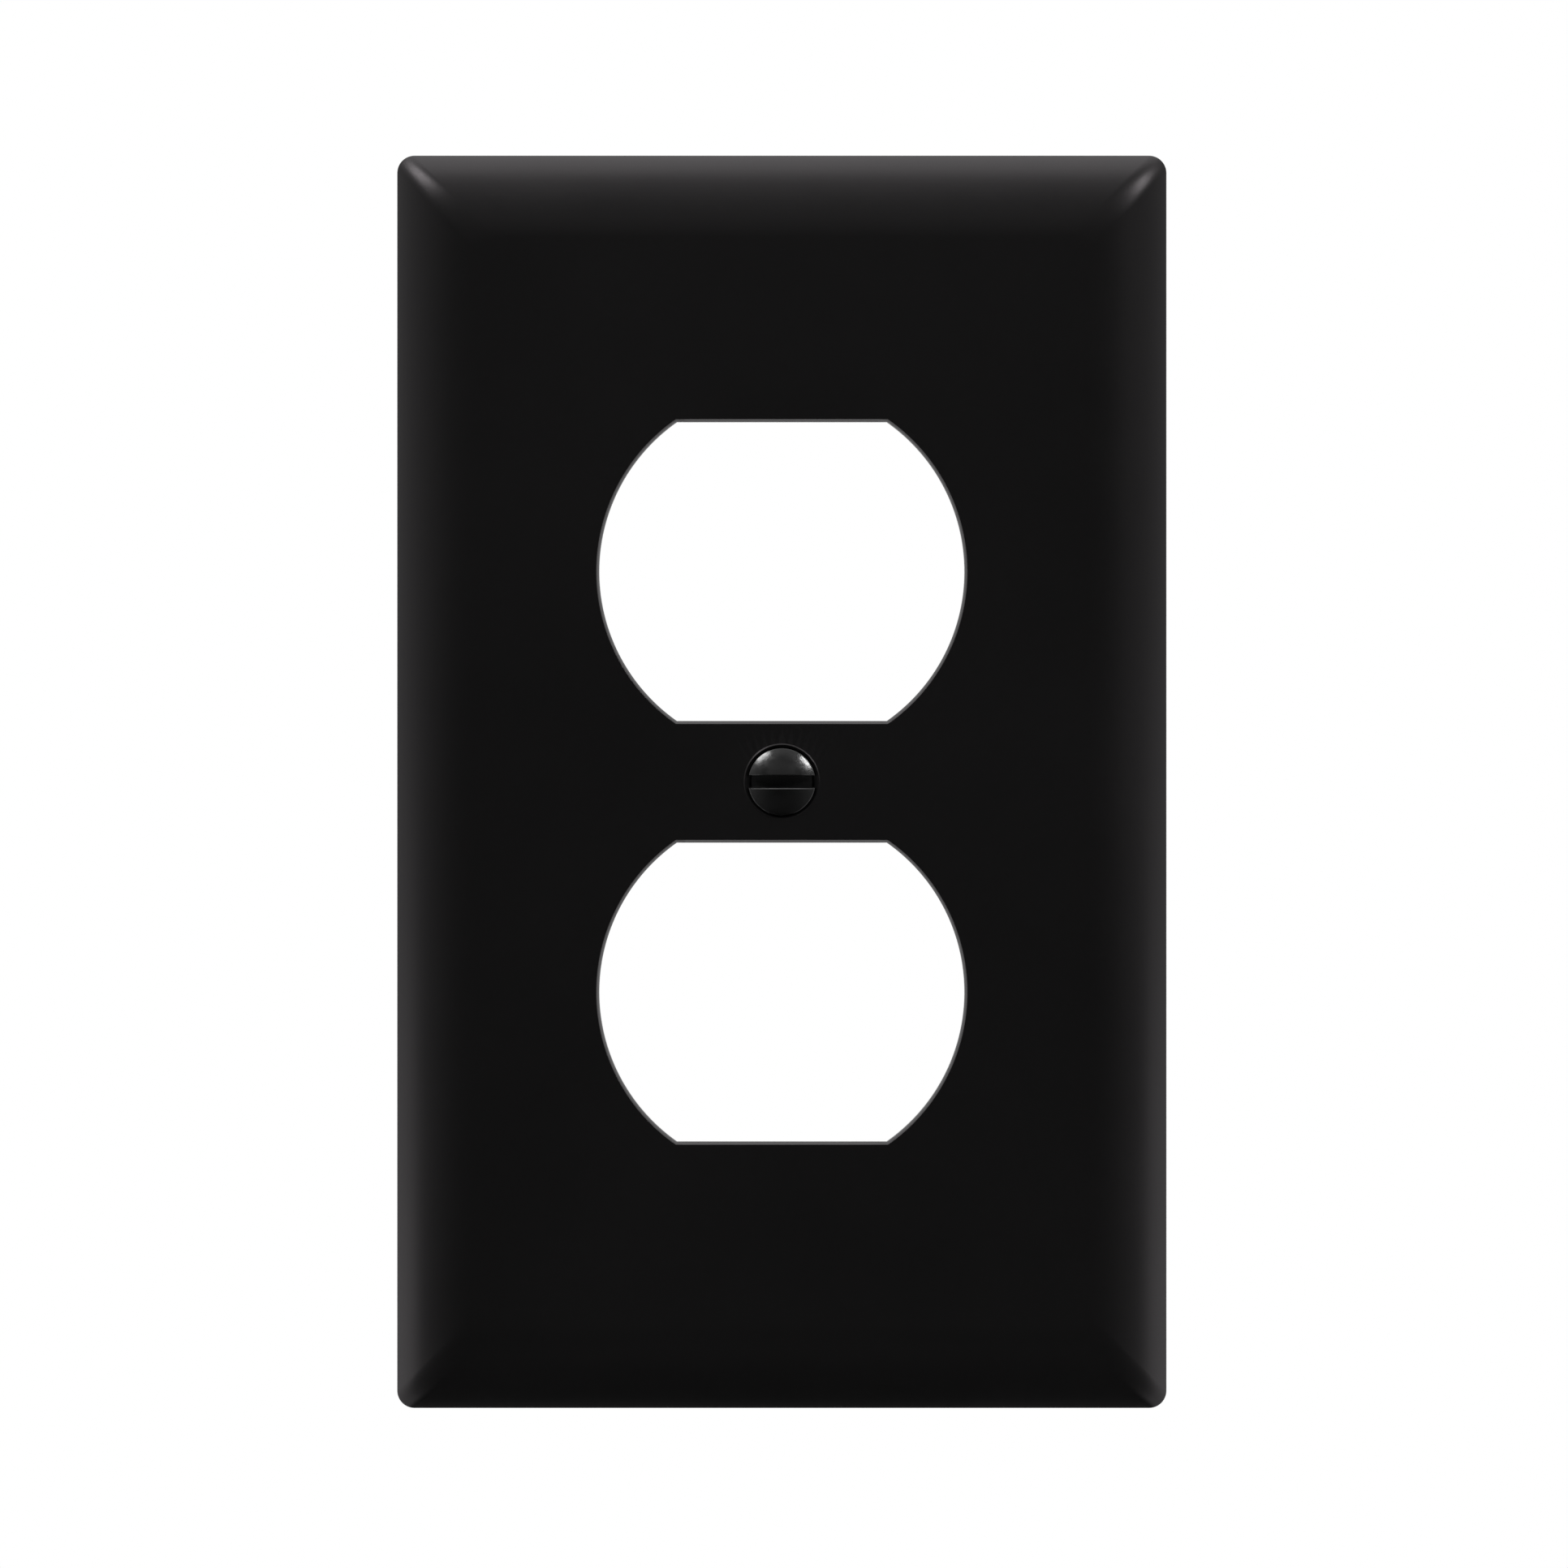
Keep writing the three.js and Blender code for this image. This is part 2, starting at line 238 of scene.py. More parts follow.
def stiffener_bars():
    """The ribs' rectangles, as (low corner, high corner) in (x, z)."""
    half = RIB_WIDTH / 2
    side_end = PLATE_WIDTH / 2 - RIM_WIDTH / 2
    far_end = PLATE_HEIGHT / 2 - RIM_WIDTH / 2
    bars = [((-side_end, -half), (side_end, half))]
    for side in (-1, 1):
        centre = side * OPENING_PITCH / 2
        bars.append(((-side_end, centre - half), (side_end, centre + half)))
        for x in (-END_RIB_SPACING / 2, END_RIB_SPACING / 2):
            ends = sorted((centre, side * far_end))
            bars.append(((x - half, ends[0]), (x + half, ends[1])))
    return bars


BARS = stiffener_bars()


def stiffener_offset(x, z):
    """How far outside the ribs and collars a point lies."""
    offset = np.minimum(opening_offset(x, z, 1), opening_offset(x, z, -1)) - COLLAR_WALL
    for low, high in BARS:
        offset = soft_min(offset, bar_offset(x, z, low, high), RIB_BLEND)
    return offset


def raised_front(offset, top):
    """Height over a rib's or boss's cross-section: rounded top edge, drafted wall, root fillet."""
    edge = np.clip(offset + RIB_ROUNDING, 0, RIB_ROUNDING)
    crest = top + RIB_ROUNDING - np.sqrt(RIB_ROUNDING**2 - edge**2)
    root = floor_front - RIB_FILLET
    wall = top + RIB_ROUNDING + (root - top - RIB_ROUNDING) * offset / RIB_DRAFT
    into = np.clip(RIB_DRAFT + RIB_FILLET - offset, 0, RIB_FILLET)
    fillet = root + np.sqrt(RIB_FILLET**2 - into**2)
    beyond = floor_front + (offset - RIB_DRAFT - RIB_FILLET)
    return np.select(
        [offset <= 0, offset <= RIB_DRAFT, offset <= RIB_DRAFT + RIB_FILLET],
        [crest, wall, fillet],
        beyond,
    )


def cavity_front(inset):
    """Height of the bare hollow: flat rim, drafted inner wall, fillet, then the inside of the roll."""
    start = RIM_WIDTH - RIM_DRAFT
    slope = roll_front(RIM_WIDTH, cavity_radius) / RIM_DRAFT
    wall = (inset - start) * slope
    hollow = roll_front(inset, cavity_radius)
    return np.clip(soft_min(wall, hollow, CAVITY_FILLET), 0, None)


# Small marks of the mould on the floor of the hollow: ejector pins, and the gate's trimmed stub.
EJECTOR_RADIUS = 1.6
EJECTOR_STEP = 0.07
GATE_RADIUS = 0.9
GATE_STEP = 0.22
MARK_SLOPE = 0.03
MARKS = [(x, z, EJECTOR_RADIUS, EJECTOR_STEP) for x in (-24.5, 24.5) for z in (-45, -9.5, 9.5, 45)]
MARKS += [(0.0, z, EJECTOR_RADIUS, EJECTOR_STEP) for z in (-41, 41)]
MARKS.append((0.0, 47.5, GATE_RADIUS, GATE_STEP))


def mark_height(x, z):
    height = np.zeros_like(x)
    for mx, mz, radius, step in MARKS:
        away = np.hypot(x - mx, z - mz)
        height += step * np.clip((radius - away) / MARK_SLOPE, 0, 1)
    return height


def back_front(x, z):
    """Height of the plate's whole back above the wall at each point."""
    hollow = cavity_front(outline_inset(x, z, CAVITY_CORNER))
    ribs = raised_front(stiffener_offset(x, z), RIB_FRONT)
    boss = raised_front(np.hypot(x, z) - BOSS_DIAMETER / 2, BOSS_FRONT)
    return np.minimum(np.minimum(hollow, ribs), boss) - mark_height(x, z)


# ---------------------------------------------------------------- contour lines
GRID = 0.55  # spacing of the points at which a field is first read
GRADIENT_STEP = 1e-4
LEAST_SLOPE = 1e-6  # keeps a division safe where a field is flat
CLOSING_ROUNDS = 4


def project(field, points, level):
    """Moves points onto the line where the field has that level."""
    for _ in range(CLOSING_ROUNDS):
        x, z = points[:, 0], points[:, 1]
        value = field(x, z) - level
        gx = (field(x + GRADIENT_STEP, z) - field(x - GRADIENT_STEP, z)) / (2 * GRADIENT_STEP)
        gz = (field(x, z + GRADIENT_STEP) - field(x, z - GRADIENT_STEP)) / (2 * GRADIENT_STEP)
        move = value / np.maximum(gx**2 + gz**2, LEAST_SLOPE)
        move = np.clip(move[:, None] * np.stack([gx, gz], 1), -GRID / 2, GRID / 2)
        points = points - move
    return points


def contour(field, level):
    """The line where a field has one level, as points and the pairs of them that are joined."""
    half_x = PLATE_WIDTH / 2 - RIM_WIDTH / 2
    half_z = PLATE_HEIGHT / 2 - RIM_WIDTH / 2
    # a third of a cell off centre, so that no straight edge lies along the grid
    xs = np.arange(-half_x, half_x, GRID) + GRID / 3
    zs = np.arange(-half_z, half_z, GRID) + GRID / 3
    x, z = np.meshgrid(xs, zs, indexing="ij")
    value = field(x, z) - level
    number = np.arange(x.size).reshape(x.shape)
    a, b = number[:-1, :-1].ravel(), number[1:, :-1].ravel()
    c, d = number[1:, 1:].ravel(), number[:-1, 1:].ravel()
    triangles = np.concatenate([np.stack([a, b, c], 1), np.stack([a, c, d], 1)])
    above = value.ravel() > 0
    flags = above[triangles]
    crossed = triangles[flags.any(1) & ~flags.all(1)]
    sides = np.stack([crossed[:, [0, 1]], crossed[:, [1, 2]], crossed[:, [2, 0]]], 1)
    sides = np.sort(sides, axis=2)
    cut = above[sides[..., 0]] != above[sides[..., 1]]
    keys, where = np.unique(sides[cut], axis=0, return_inverse=True)
    flat_x, flat_z, flat_value = x.ravel(), z.ravel(), value.ravel()
    share = flat_value[keys[:, 0]] / (flat_value[keys[:, 0]] - flat_value[keys[:, 1]])
    points = np.stack([
        flat_x[keys[:, 0]] + share * (flat_x[keys[:, 1]] - flat_x[keys[:, 0]]),
        flat_z[keys[:, 0]] + share * (flat_z[keys[:, 1]] - flat_z[keys[:, 0]]),
    ], 1)
    return project(field, points, level), where.reshape(-1, 2)


def loop_line(outline):
    """A closed outline as points and the pairs of them that are joined."""
    count = len(outline)
    return np.array(outline), np.array([(i, (i + 1) % count) for i in range(count)])


def middles(line):
    """The x and the z of the middle of each joined pair."""
    points, pairs = line
    return ((points[pairs[:, 0]] + points[pairs[:, 1]]) / 2).T


SAME_HEIGHT = 0.04  # heights no further apart than this count as one


def shown_part(line, front):
    """The stretch of a line where the back really has the height that the line stands for."""
    x, z = middles(line)
    height = back_front(x, z) + mark_height(x, z)
    return line[0], line[1][np.abs(height - front) < SAME_HEIGHT]


def stiffener_line(offset):
    """The line at one distance outside the ribs and collars, without its stretch over the boss."""
    line = contour(stiffener_offset, offset)
    return line[0], line[1][np.hypot(*middles(line)) > BOSS_DIAMETER / 2]


ROUNDING_STEPS = 3
FILLET_STEPS = 5
BOSS_STEPS = 160
# Plain lines beside the ribs' feet, so that the mesh's long triangles stop short of the ribs
FOOT_MARGINS = (0.04, 0.25, 0.9)


def stiffener_lines():
    """Lines round the ribs, collars and boss: along their top edge, their wall and their fillet."""
    offsets = [
        -RIB_ROUNDING + RIB_ROUNDING * math.sin(a) for a in steps(0, math.pi / 2, ROUNDING_STEPS)
    ]
    offsets += [
        RIB_DRAFT + RIB_FILLET * (1 - math.cos(a)) for a in steps(0, math.pi / 2, FILLET_STEPS)
    ]
    lines = []
    for offset in offsets:
        lines.append(stiffener_line(offset))
        ring = loop_line(circle(BOSS_DIAMETER / 2 + offset, count=BOSS_STEPS))
        lines.append(shown_part(ring, raised_front(np.array(offset), BOSS_FRONT)))
    foot = RIB_DRAFT + RIB_FILLET
    return lines + [stiffener_line(foot + beyond) for beyond in FOOT_MARGINS]


BEFORE_WALL = 0.04  # the first line runs this far outside the hollow's inner wall
BEYOND_WALL = 0.06
WALL_STEPS = 4
CAVITY_FILLET_END = 3.0  # how far in the fillet between that wall and the roll reaches
CAVITY_FILLET_STEPS = 8
HOLLOW_START = 3.25
HOLLOW_STEPS = 14


def hollow_lines():
    """Rings down the hollow's inner wall, round its fillet and along the inside of the roll."""
    wall = RIM_WIDTH - RIM_DRAFT
    insets = steps(wall - BEFORE_WALL, wall + RIM_DRAFT, WALL_STEPS)
    insets += steps(RIM_WIDTH + BEYOND_WALL, CAVITY_FILLET_END, CAVITY_FILLET_STEPS)
    insets += steps(HOLLOW_START, ROLL_WIDTH, HOLLOW_STEPS)
    lines = []
    for inset in insets:
        ring = loop_line(plate_outline(inset, CAVITY_CORNER))
        lines.append(shown_part(ring, cavity_front(np.array(inset))))
    return lines


CREASE_END = 0.6  # nearer than this to the flat floor, the ribs' crease with the roll fades out


def crease_line():
    """The line where the ribs run into the inside of the roll."""

    def rib_against_roll(x, z):
        ribs = raised_front(stiffener_offset(x, z), RIB_FRONT)
        return ribs - cavity_front(outline_inset(x, z, CAVITY_CORNER))

    line = contour(rib_against_roll, 0)
    rolled = roll_front(outline_inset(*middles(line), CAVITY_CORNER), cavity_radius)
    points, pairs = shown_part(line, rolled)
    inset = outline_inset(*middles((points, pairs)), CAVITY_CORNER)
    return points, pairs[inset < ROLL_WIDTH - CREASE_END]


MARK_STEPS = 40


def mark_lines():
    """Two circles round each mark, at the foot and at the top of its step."""
    return [
        loop_line(circle(edge, (x, z), MARK_STEPS))
        for x, z, radius, _ in MARKS
        for edge in (radius, radius - MARK_SLOPE)
    ]


def back_lines():
    """The lines that the back's mesh follows: along every edge, fillet and rounding."""
    return [*stiffener_lines(), *hollow_lines(), crease_line(), *mark_lines()]


# ---------------------------------------------------------------- surfaces
MERGE_DISTANCE = 1e-5
WELD_DISTANCE = 1e-4


class Skin:
    """A closed surface in the making. Its points are (x, front, z) in millimetres."""

    def __init__(self):
        self.points = []
        self.faces = []

    def ring(self, outline, front):
        """Adds a closed line of points, all at one height or at the height that front(x, z) gives."""
        start = len(self.points)
        self.points += [(x, front(x, z) if callable(front) else front, z) for x, z in outline]
        return list(range(start, len(self.points)))

    def tower(self, rings):
        """Joins each ring to the next one."""
        for first, second in zip(rings, rings[1:]):
            for i in range(len(first)):
                j = (i + 1) % len(first)
                self.faces.append((first[i], first[j], second[j], second[i]))

    def sheet(self, rings, front, inside, lines=()):
        """Fills the region between rings, wherever inside(x, z) is above 0, along any given lines."""
        known = [i for ring in rings for i in ring]
        coords = [(self.points[i][0], self.points[i][2]) for i in known]
        edges = []
        start = 0
        for ring in rings:
            edges += [(start + i, start + (i + 1) % len(ring)) for i in range(len(ring))]
            start += len(ring)
        for points, pairs in lines:
            used, where = np.unique(pairs, return_inverse=True)
            edges += [tuple(int(i) + len(coords) for i in pair) for pair in where.reshape(-1, 2)]
            coords += [tuple(map(float, points[i])) for i in used]
        made = delaunay_2d_cdt([Vector(c) for c in coords], edges, [], 0, MERGE_DISTANCE, True)
        verts, _, triangles, originals = made[:4]
        xs = np.array([v.x for v in verts])
        zs = np.array([v.y for v in verts])
        heights = front(xs, zs)
        numbers = []
        for i, came_from in enumerate(originals):
            old = [known[k] for k in came_from if k < len(known)]
            if old:
                numbers.append(old[0])
            else:
                numbers.append(len(self.points))
                self.points.append((xs[i], float(heights[i]), zs[i]))
        corners = np.array(triangles)
        keep = inside(xs[corners].mean(1), zs[corners].mean(1)) > 0
        for triangle in corners[keep]:
            self.faces.append(tuple(numbers[k] for k in triangle))

    def mesh(self, name):
        """A closed mesh in millimetres with its faces turned outward."""
        data = bpy.data.meshes.new(name)
        data.from_pydata([(x, -f, z) for x, f, z in self.points], [], self.faces)
        tidy = bmesh.new()
        tidy.from_mesh(data)
        bmesh.ops.remove_doubles(tidy, verts=tidy.verts, dist=WELD_DISTANCE)
        loose = [v for v in tidy.verts if not v.link_faces]
        bmesh.ops.delete(tidy, geom=loose, context="VERTS")
        bmesh.ops.recalc_face_normals(tidy, faces=tidy.faces)
        tidy.to_mesh(data)
        tidy.free()
        return data


CREASE = math.radians(32)  # edges sharper than this stay sharp
LARGE_FACES = 100  # how fully the larger face decides a shared normal, in percent


def add_piece(name, data, *materials):
    """A smooth-shaded object, in metres, whose large faces keep their own normals."""
    data.transform(Matrix.Scale(MM, 4))
    data.shade_smooth()
    data.set_sharp_from_angle(angle=CREASE)
    piece = bpy.data.objects.new(name, data)
    bpy.context.collection.objects.link(piece)
    for material in materials:
        data.materials.append(material)
    weighted = piece.modifiers.new("weighted_normals", "WEIGHTED_NORMAL")
    weighted.keep_sharp = True
    weighted.weight = LARGE_FACES
    return piece


# ---------------------------------------------------------------- the plate
ROLL_STEPS = 40
EDGE_STEPS = 5


def outside_rings(skin):
    """The plate's outside from the rim's outer edge, up the side wall and over the roll."""
    centre_inset = ROLL_WIDTH - (roll_radius - EDGE_ROUNDING) * math.sin(ROLL_TILT)
    centre_front = roll_centre + (roll_radius - EDGE_ROUNDING) * math.cos(ROLL_TILT)
    profile = [
        (BACK_EDGE * (1 - math.sin(a)), BACK_EDGE * (1 - math.cos(a)))
        for a in steps(0, math.pi / 2, EDGE_STEPS)
    ]
    profile += [
        (centre_inset - EDGE_ROUNDING * math.sin(a), centre_front + EDGE_ROUNDING * math.cos(a))
        for a in steps(math.pi / 2, ROLL_TILT, EDGE_STEPS)
    ]
    profile += [
        (ROLL_WIDTH - roll_radius * math.sin(a), roll_centre + roll_radius * math.cos(a))
        for a in steps(ROLL_TILT, 0, ROLL_STEPS)[1:]
    ]
    return [skin.ring(plate_outline(inset, OUTLINE_CORNER), front) for inset, front in profile]


LIP_TILT = math.atan2(LIP_DEPTH, LIP_WIDTH)
LIP_REACH = LIP_WIDTH + LIP_ROUNDING * math.tan(LIP_TILT / 2)


def opening_rings(skin, side):
    """An opening's wall, from the lip on the face back to the collar's edge."""
    profile = [
        (LIP_REACH - LIP_ROUNDING * math.sin(a), PLATE_DEPTH - LIP_ROUNDING * (1 - math.cos(a)))
        for a in steps(0, LIP_TILT, EDGE_STEPS)
    ]
    turn = LIP_ROUNDING / 2
    bottom = PLATE_DEPTH - LIP_DEPTH
    profile += [(turn * math.cos(LIP_TILT), bottom + turn * math.sin(LIP_TILT)), (0.0, bottom - turn)]
    profile += [
        (COLLAR_EDGE * (1 - math.cos(a)), RIB_FRONT + COLLAR_EDGE * (1 - math.sin(a)))
        for a in steps(0, math.pi / 2, EDGE_STEPS)
    ]
    return [skin.ring(opening_outline(side, offset), front) for offset, front in profile]


HOLE_REACH = COUNTERSINK_DIAMETER / 2 + BEAD_WIDTH


def bead_front(x, z, rise):
    """Height of the bead round the screw hole at a share of its rise. It fades to nothing opposite
    its highest side."""
    share = (1 + math.cos(math.atan2(z, x) - BEAD_SIDE)) / 2
    return PLATE_DEPTH + BEAD_HEIGHT * rise * share


def screw_hole_rings(skin):
    """The countersunk hole, from the bead round its mouth back to the boss."""
    mouth = COUNTERSINK_DIAMETER / 2
    rings = []
    for share in steps(0, 1, 2 * EDGE_STEPS):
        rise = math.sin(share * math.pi / 2) ** 2
        outline = circle(HOLE_REACH - BEAD_WIDTH * share)
        rings.append(skin.ring(outline, lambda x, z: bead_front(x, z, rise)))
    hole = HOLE_DIAMETER / 2
    profile = [
        (mouth, PLATE_DEPTH - BEAD_HEIGHT / 10),  # a short upright step under the bead
        (hole, PLATE_DEPTH - (mouth - hole) / math.tan(COUNTERSINK_HALF_ANGLE)),
        (hole, BOSS_FRONT + COLLAR_EDGE),
        (hole + COLLAR_EDGE, BOSS_FRONT),
    ]
    return rings + [skin.ring(circle(radius), front) for radius, front in profile]


def wall_plate_mesh():
    skin = Skin()
    outside = outside_rings(skin)
    openings = {side: opening_rings(skin, side) for side in (-1, 1)}
    hole = screw_hole_rings(skin)
    for rings in (outside, openings[-1], openings[1], hole):
        skin.tower(rings)
    hole_back = HOLE_DIAMETER / 2 + COLLAR_EDGE

    def on_plate(x, z, lip, radius):
        """Above 0 clear of both openings, made larger by the lip, and of the screw hole."""
        clear = np.minimum(opening_offset(x, z, 1), opening_offset(x, z, -1)) - lip
        return np.minimum(clear, np.hypot(x, z) - radius * math.cos(math.pi / ROUND_STEPS))

    skin.sheet(
        [outside[-1], openings[-1][0], openings[1][0], hole[0]],
        lambda x, z: np.full_like(x, PLATE_DEPTH),
        lambda x, z: on_plate(x, z, LIP_REACH, HOLE_REACH),
    )
    skin.sheet(
        [outside[0], openings[-1][-1], openings[1][-1], hole[-1]],
        back_front,
        lambda x, z: on_plate(x, z, COLLAR_EDGE, hole_back),
        back_lines(),
    )
    return skin.mesh("plate_skin")


# ---------------------------------------------------------------- the screw
cone_slope = math.tan(COUNTERSINK_HALF_ANGLE)
head_radius = HEAD_DIAMETER / 2
seated_depth = (COUNTERSINK_DIAMETER / 2 - head_radius) / cone_slope
cone_top = PLATE_DEPTH - seated_depth + SEAT_GAP / math.sin(COUNTERSINK_HALF_ANGLE)
rim_top = cone_top + HEAD_RIM
crown_radius = (head_radius**2 + CROWN_HEIGHT**2) / (2 * CROWN_HEIGHT)
crown_centre = rim_top + CROWN_HEIGHT - crown_radius
cone_bottom = cone_top - (head_radius - MAJOR_DIAMETER / 2) / cone_slope
neck_bottom = cone_bottom - NECK_LENGTH
screw_tip = cone_top - SCREW_LENGTH

THREAD_RUN_OUT = 0.6  # turns over which the thread fades in and out
CREST_SHARE = 1 / 8  # the crest's width as a share of the pitch
CREST_CORNER = ((1.3, 0.93), (0.6, 1.0))  # rounding, as shares of the crest's half width and height
THREAD_HALF_ANGLE = math.radians(30)
THREAD_MARGIN = THREAD_PITCH / 8  # plain core left at both ends together


def crown_front(distance):
    return crown_centre + math.sqrt(crown_radius**2 - distance**2)


def clockwise(radius):
    """A circle that turns the way the thread does on its way to the tip."""
    return [(x, -z) for x, z in circle(radius)]


def thread_rings(skin):
    """The thread as one helical surface between two plain rings of the core, which it returns."""
    core = MINOR_DIAMETER / 2
    depth = MAJOR_DIAMETER / 2 - core
    top = neck_bottom - depth
    bottom = screw_tip + TIP_CHAMFER
    crest = THREAD_PITCH * CREST_SHARE / 2
    root = crest + depth * math.tan(THREAD_HALF_ANGLE)
    turns = int((top - bottom - 2 * root - THREAD_MARGIN) / THREAD_PITCH)
    first = (top + bottom + turns * THREAD_PITCH) / 2
    count = turns * ROUND_STEPS
    profile = [(root, 0.0)] + [(crest * along, depth * out) for along, out in CREST_CORNER]
    profile += [(-along, height) for along, height in reversed(profile)]
    helices = []
    for along, height in profile:
        line = []
        for i in range(count + 1):
            turn = i / ROUND_STEPS
            fade = min(1.0, turn / THREAD_RUN_OUT, (turns - turn) / THREAD_RUN_OUT)
            radius = core + height * math.sin(fade * math.pi / 2)
            angle = -2 * math.pi * turn
            front = first - turn * THREAD_PITCH + along
            line.append((radius * math.cos(angle), front, radius * math.sin(angle)))
        start = len(skin.points)
        skin.points += line
        helices.append(list(range(start, start + count + 1)))
    for upper, lower in zip(helices, helices[1:]):
        for i in range(count):
            skin.faces.append((upper[i], upper[i + 1], lower[i + 1], lower[i]))
    head_side, tip_side = helices[0], helices[-1]
    # the core between one turn and the next
    for i in range(count - ROUND_STEPS):
        j = i + ROUND_STEPS
        skin.faces.append((tip_side[i], tip_side[i + 1], head_side[j + 1], head_side[j]))
    top_ring = skin.ring(clockwise(core), top)
    bottom_ring = skin.ring(clockwise(core), bottom)
    # from the neck to the first turn, and the section where the thread starts
    last = ROUND_STEPS - 1
    for i in range(last):
        skin.faces.append((top_ring[i], top_ring[i + 1], head_side[i + 1], head_side[i]))
    start_cut = [helix[0] for helix in helices]
    skin.faces.append(
        (top_ring[last], top_ring[0], *start_cut, head_side[ROUND_STEPS], head_side[last])
    )
    # from the last turn to the tip, and the section where the thread ends
    base = count - ROUND_STEPS
    for i in range(1, ROUND_STEPS):
        j = (i + 1) % ROUND_STEPS
        skin.faces.append((tip_side[base + i], tip_side[base + i + 1], bottom_ring[j], bottom_ring[i]))
    end_cut = [helix[count] for helix in reversed(helices)]
    skin.faces.append(
        (tip_side[base], tip_side[base + 1], bottom_ring[1], bottom_ring[0], *end_cut)
    )
    return top_ring, bottom_ring


CROWN_STEPS = 28
CROWN_EYE = 0.02  # radius of the innermost ring
RIM_EDGE = 0.02  # how far the dome's rounded edge reaches down the rim
SEAT_EDGE = 0.03  # and how far up the rim its other edge reaches
NECK_ROUNDING = 0.25  # where the cone starts to turn into the neck, out from the neck
NECK_TURN = (0.08, 0.02)  # a point of that turn, out from the neck and up from the cone's foot
NECK_START = 0.2  # where the turn ends, below the cone's foot


def screw_blank_mesh():
    """The whole screw without its slot."""
    skin = Skin()
    dome = steps(CROWN_EYE, head_radius - RIM_EDGE, CROWN_STEPS)
    rings = [skin.ring(clockwise(radius), crown_front(radius)) for radius in dome]
    skin.faces.append(tuple(rings[0]))
    major = MAJOR_DIAMETER / 2
    profile = [
        (head_radius - RIM_EDGE / 4, rim_top - RIM_EDGE / 8),
        (head_radius, rim_top - RIM_EDGE),
        (head_radius, cone_top + SEAT_EDGE),
        (head_radius - SEAT_EDGE * 2 / 3, cone_top - SEAT_EDGE / 3),
        (major + NECK_ROUNDING, cone_bottom + NECK_ROUNDING / cone_slope),
        (major + NECK_TURN[0], cone_bottom + NECK_TURN[1]),
        (major, cone_bottom - NECK_START),
        (major, neck_bottom),
    ]
    rings += [skin.ring(clockwise(radius), front) for radius, front in profile]
    top_ring, bottom_ring = thread_rings(skin)
    skin.tower([*rings, top_ring])
    tip = skin.ring(clockwise(MINOR_DIAMETER / 2 - TIP_CHAMFER / 2), screw_tip)
    skin.tower([bottom_ring, tip])
    skin.faces.append(tuple(tip))
    return skin.mesh("screw_blank")


SLOT_SECTIONS = 56
SLOT_CORNER = 0.1  # rounding between the slot's floor and its sides
SLOT_CORNER_MIDDLE = 0.03  # how far the rounding's middle point stands off both
SLOT_FLARE = ((0.0, 1.12), (0.04, 1.0), (0.9, 0.08), (1.0, 0.02))  # the bevel with its edges eased
OVERCUT = 1.0  # how far the cutter runs past the head


def slot_cutter_mesh():
    """A bar across the head whose upper edges flare outward, so that the slot's edges are bevelled."""
    half = SLOT_WIDTH / 2
    floor = rim_top + CROWN_HEIGHT - SLOT_DEPTH
    reach = head_radius + OVERCUT
    corner = [
        (half - SLOT_CORNER, floor),
        (half - SLOT_CORNER_MIDDLE, floor + SLOT_CORNER_MIDDLE),
        (half, floor + SLOT_CORNER),
    ]
    skin = Skin()
    rings = []
    for x in steps(-reach, reach, SLOT_SECTIONS):
        edge = crown_front(min(math.hypot(x, half), head_radius - RIM_EDGE))
        flare = [
            (half + SLOT_EDGE_WIDTH * across, edge - SLOT_EDGE_DEPTH * down)
            for across, down in SLOT_FLARE
        ]
        right = [*corner, *flare, (flare[-1][0] + SLOT_CORNER, edge + OVERCUT)]
        section = right + [(-z, front) for z, front in reversed(right)]
        start = len(skin.points)
        skin.points += [(x, front, z) for z, front in section]
        rings.append(list(range(start, len(skin.points))))
    skin.faces.append(tuple(rings[0]))
    skin.tower(rings)
    skin.faces.append(tuple(rings[-1]))
    return skin.mesh("slot_cutter")


def plate_screw_mesh():
    blank = bpy.data.objects.new("screw_blank", screw_blank_mesh())
    cutter = bpy.data.objects.new("slot_cutter", slot_cutter_mesh())
    for made in (blank, cutter):
        bpy.context.collection.objects.link(made)
    cut = blank.modifiers.new("slot", "BOOLEAN")
    cut.operation = "DIFFERENCE"
    cut.solver = "EXACT"
    cut.object = cutter
    graph = bpy.context.evaluated_depsgraph_get()
    data = bpy.data.meshes.new_from_object(blank.evaluated_get(graph))
    bpy.data.objects.remove(blank)
    bpy.data.objects.remove(cutter)
    data.name = "screw_skin"
    return data


# ---------------------------------------------------------------- materials
class Nodes:
    """A short way to write a node tree."""

    def __init__(self, tree):
        self.tree = tree

    def add(self, kind, inputs=(), **settings):
        """A new node with its settings and with the numbers of some of its inputs."""
        node = self.tree.nodes.new(kind)
        for key, value in settings.items():
            setattr(node, key, value)
        for key, value in dict(inputs).items():
            node.inputs[key].default_value = value
        return node

    def link(self, source, target):
        self.tree.links.new(source, target)

    def math(self, operation, first, second):
        """What an operation makes of two values, each a number or another node's output."""
        node = self.add("ShaderNodeMath", operation=operation)
        for i, value in enumerate((first, second)):
            if isinstance(value, (int, float)):
                node.inputs[i].default_value = value
            else:
                self.link(value, node.inputs[i])
        return node.outputs[0]

    def mapped(self, source, start, end, to_start, to_end, curve="LINEAR"):
        """The source with one range of it mapped onto another."""
        limits = {"From Min": start, "From Max": end, "To Min": to_start, "To Max": to_end}
        node = self.add("ShaderNodeMapRange", limits, interpolation_type=curve)
        self.link(source, node.inputs["Value"])
        return node.outputs["Result"]


